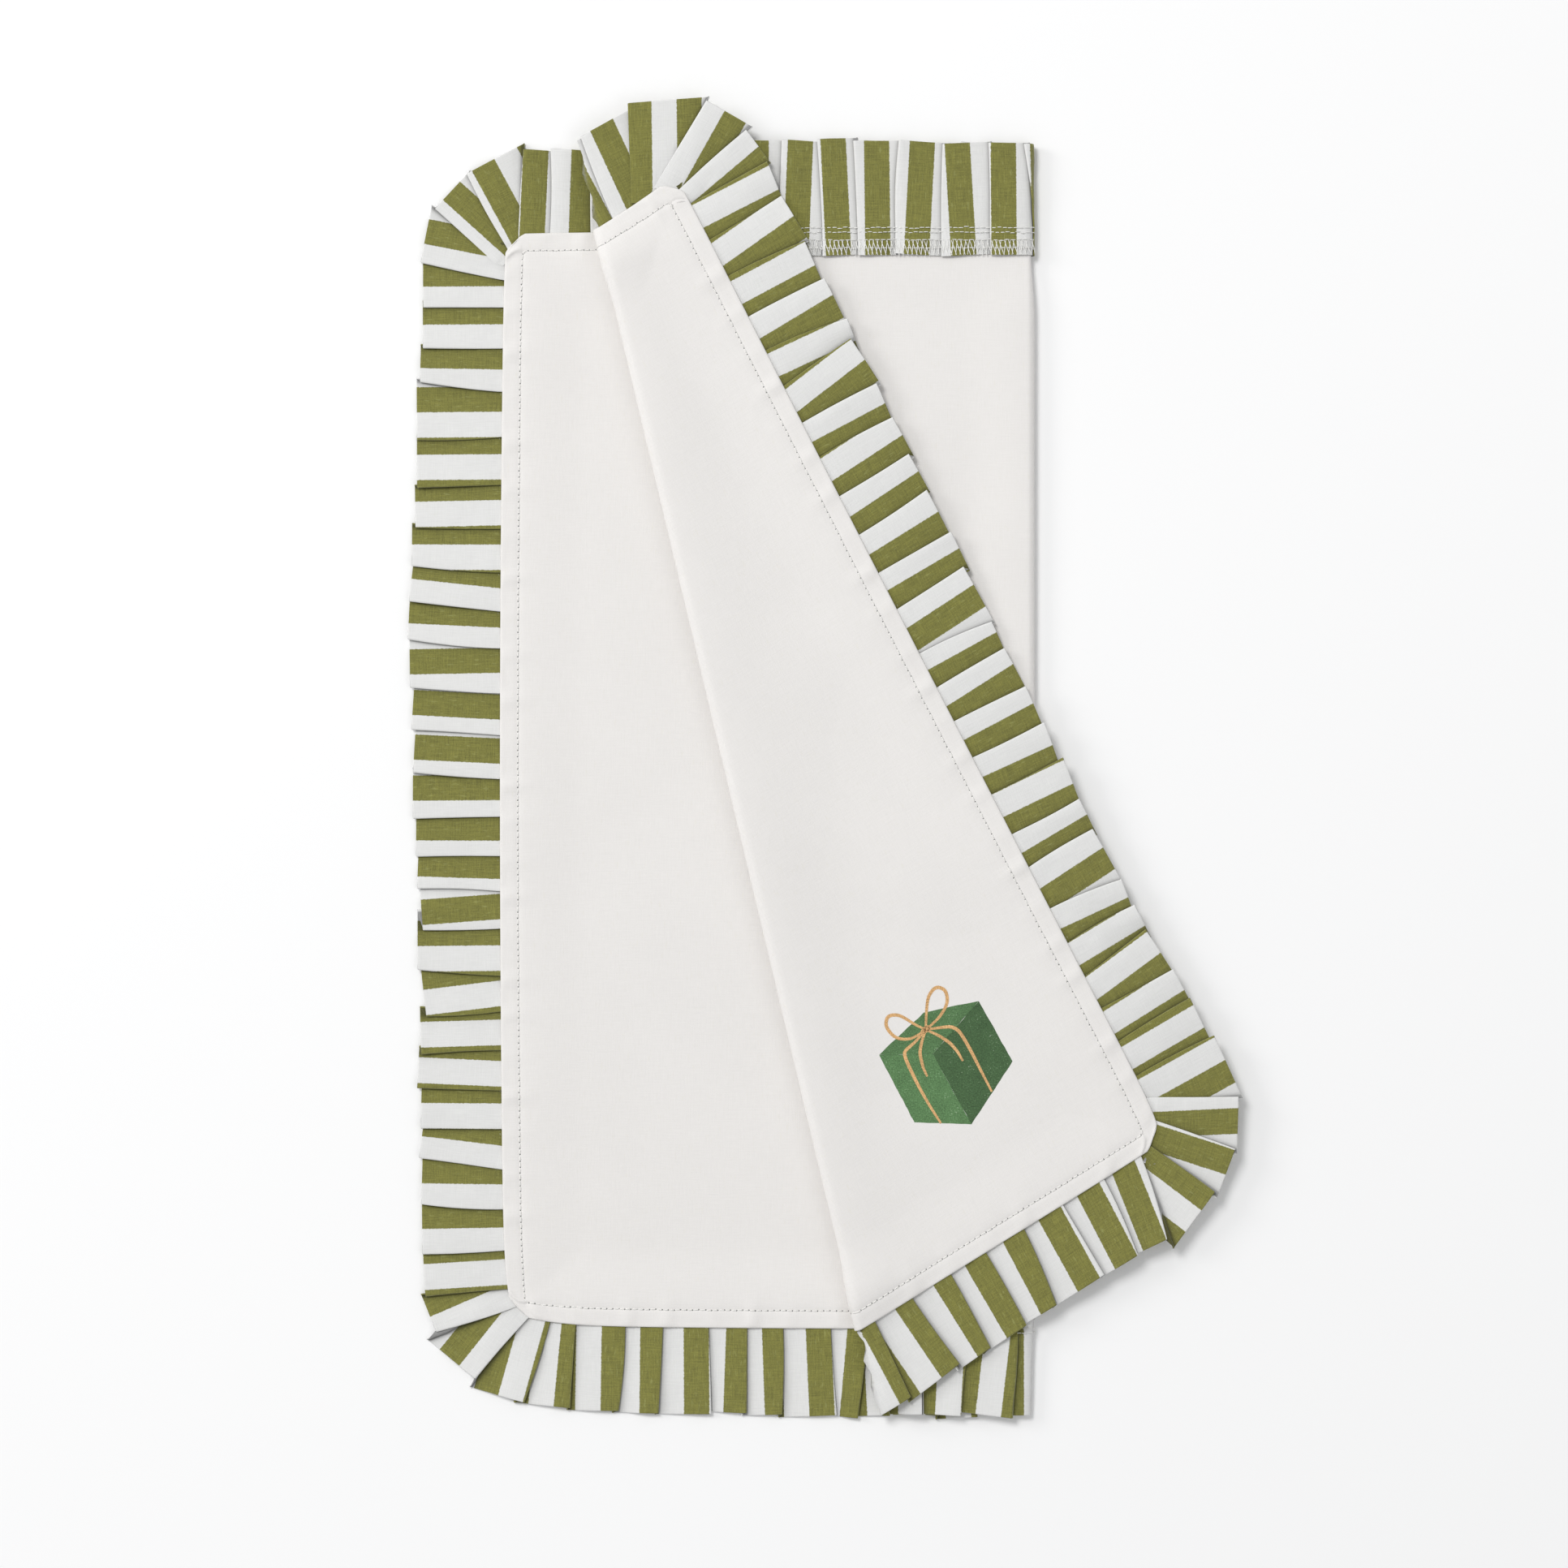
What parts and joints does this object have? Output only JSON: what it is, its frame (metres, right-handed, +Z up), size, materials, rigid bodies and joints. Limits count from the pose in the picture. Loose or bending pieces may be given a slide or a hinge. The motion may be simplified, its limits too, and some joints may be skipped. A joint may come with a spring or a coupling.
{
  "type": "ruffled skirt cloth",
  "caption": "Square cotton skirt cloth with a knife-pleated striped ruffle, folded in half with its free side turned back on a slant.",
  "frame": {"origin": "middle of the folded cloth's box, on the surface it lies on", "axes": "+Z up, out of the table; +Y along the half fold, towards the top seam; +X from the left ruffle to the half fold"},
  "size_m": [0.4044, 0.642, 0.0116],
  "materials": {
    "plain_cotton": "plain-weave off-white cotton, matt",
    "striped_cotton": "plain-weave cotton with olive green and white stripes, matt",
    "thread": "spun sewing thread, off-white"
  },
  "bodies": {
    "base_half": {"hem_bottom_base": "plain_cotton", "hem_left": "plain_cotton", "hem_top_base": "plain_cotton", "overlock_base": "thread", "panel_base": "plain_cotton", "ruffle_bottom_base": "striped_cotton", "ruffle_corner_bottom_left": "striped_cotton", "ruffle_corner_top_left": "striped_cotton", "ruffle_left_above_join": "striped_cotton", "ruffle_left_below_join": "striped_cotton", "ruffle_top_base": "striped_cotton", "topstitch_base": "thread"},
    "folded_over_part": {"hem_bottom_folded_over": "plain_cotton", "hem_top_folded_over": "plain_cotton", "overlock_bottom_folded_over": "thread", "overlock_top_folded_over": "thread", "panel_folded_over": "plain_cotton", "ruffle_bottom_folded_over": "striped_cotton", "ruffle_top_folded_over": "striped_cotton", "topstitch_bottom_folded_over": "thread", "topstitch_top_folded_over": "thread"},
    "turned_back_side": {"hem_bottom_turned_back": "plain_cotton", "hem_side_turned_back": "plain_cotton", "hem_top_turned_back": "plain_cotton", "overlock_turned_back": "thread", "panel_turned_back": "plain_cotton", "ruffle_bottom_turned_back": "striped_cotton", "ruffle_corner_bottom_turned_back": "striped_cotton", "ruffle_corner_top_turned_back": "striped_cotton", "ruffle_side_turned_back": "striped_cotton", "ruffle_top_turned_back": "striped_cotton", "topstitch_turned_back": "thread"}
  },
  "joints": [
    {"name": "half_fold", "type": "hinge", "parent": "base_half", "child": "folded_over_part", "pos_m": [0.10079, 0, 0.0038], "axis": [0, 1, 0], "range_deg": [0, 179]},
    {"name": "slanting_crease", "type": "hinge", "parent": "folded_over_part", "child": "turned_back_side", "pos_m": [0.01379, -0.27896, 0.0078], "axis": [0.2315, -0.9728, 0], "range_deg": [0, 179]}
  ]
}
